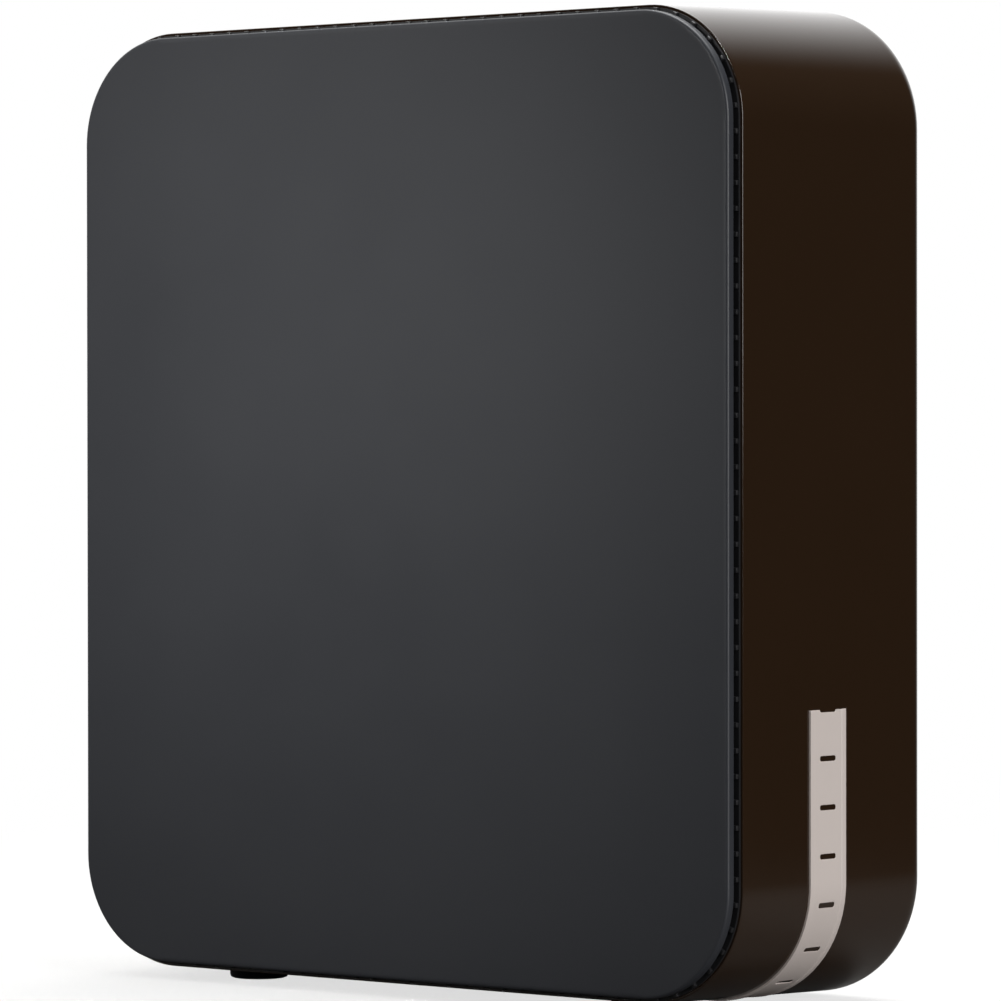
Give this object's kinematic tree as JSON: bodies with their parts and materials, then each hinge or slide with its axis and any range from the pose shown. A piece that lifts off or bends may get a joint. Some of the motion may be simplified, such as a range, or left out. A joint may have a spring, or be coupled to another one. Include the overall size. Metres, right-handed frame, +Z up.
{
  "type": "cellular signal booster",
  "caption": "Slab-shaped desktop cellular signal booster: satin front cover, vented seam, glossy housing, slotted base band, and a rear port bay with coaxial connector, power jack and switch.",
  "frame": {"origin": "on the table, under the middle of the casing, level with the undersides of the four feet", "axes": "+Z up, the front cover faces -Y, the ports face +Y, +X to the right seen from the front"},
  "size_m": [0.172, 0.0624, 0.1955],
  "materials": {
    "cover_paint": "satin charcoal, fine moulded texture",
    "housing_gloss": "polished espresso brown",
    "rear_plastic": "spark-eroded satin",
    "band_plastic": "warm light grey, satin",
    "black_plastic": "satin black",
    "rocker_plastic": "semi-gloss black",
    "foot_rubber": "dull",
    "black_steel": "black oxide",
    "zinc_steel": "bright zinc",
    "tinned_steel": "tinned",
    "nickel_plate": "nickel plated brass",
    "bare_brass": "rolled",
    "gold_contact": "gold flash",
    "sheet_aluminium": "mill finish",
    "black_anodised": "black anodised extrusion",
    "nylon": "natural nylon",
    "white_ptfe": "waxy white",
    "solder_mask": "green solder mask",
    "chip_resin": "moulded epoxy",
    "filter_ceramic": "fired ceramic",
    "can_sleeve": "drawn can",
    "ferrite": "sintered grey",
    "gap_pad": "soft silicone",
    "label_foil": "blank satin foil",
    "led_resin": "cast resin",
    "clear_acrylic": "polished",
    "coax_jacket": "extruded jacket",
    "lead_jacket": "extruded jacket"
  },
  "bodies": {
    "casing": {"front_cover": "cover_paint", "vent_ring": "black_plastic", "main_housing": "housing_gloss", "rear_cover": "rear_plastic", "base_band": "band_plastic", "foot_pads": "foot_rubber", "cover_screws": "black_steel", "rating_label": "label_foil", "patch_antenna": "bare_brass", "antenna_spacers": "nylon", "antenna_screws": "nylon", "antenna_nuts": "nylon", "reflector_plate": "sheet_aluminium", "board_standoffs": "bare_brass", "main_board": "solder_mask", "board_screws": "zinc_steel", "shield_frames": "tinned_steel", "shield_lid_uplink": "tinned_steel", "shield_lid_downlink": "tinned_steel", "shield_lid_power": "tinned_steel", "amplifier_chips": "chip_resin", "duplexer_filters": "filter_ceramic", "controller_chip": "chip_resin", "power_capacitors": "can_sleeve", "power_inductor": "ferrite", "thermal_pads": "gap_pad", "heat_sink": "black_anodised", "heat_sink_screws": "zinc_steel", "heat_sink_nuts": "zinc_steel", "coax_connector": "nickel_plate", "coax_insulator": "white_ptfe", "coax_contact": "gold_contact", "coax_washer": "nickel_plate", "coax_nut": "nickel_plate", "power_jack": "black_plastic", "power_jack_pin": "nickel_plate", "power_jack_nut": "nickel_plate", "power_jack_tabs": "tinned_steel", "switch_frame": "black_plastic", "switch_tabs": "tinned_steel", "status_led": "led_resin", "light_pipe": "clear_acrylic", "board_sockets": "gold_contact", "donor_cable": "coax_jacket", "antenna_cable": "coax_jacket", "power_leads": "lead_jacket"},
    "rocker": {"power_rocker": "rocker_plastic"}
  },
  "joints": [
    {"name": "power_rocker_hinge", "type": "hinge", "parent": "casing", "child": "rocker", "pos_m": [0.024, 0.01775, 0.033], "axis": [-1, 0, 0], "range_deg": [0, 16]}
  ]
}
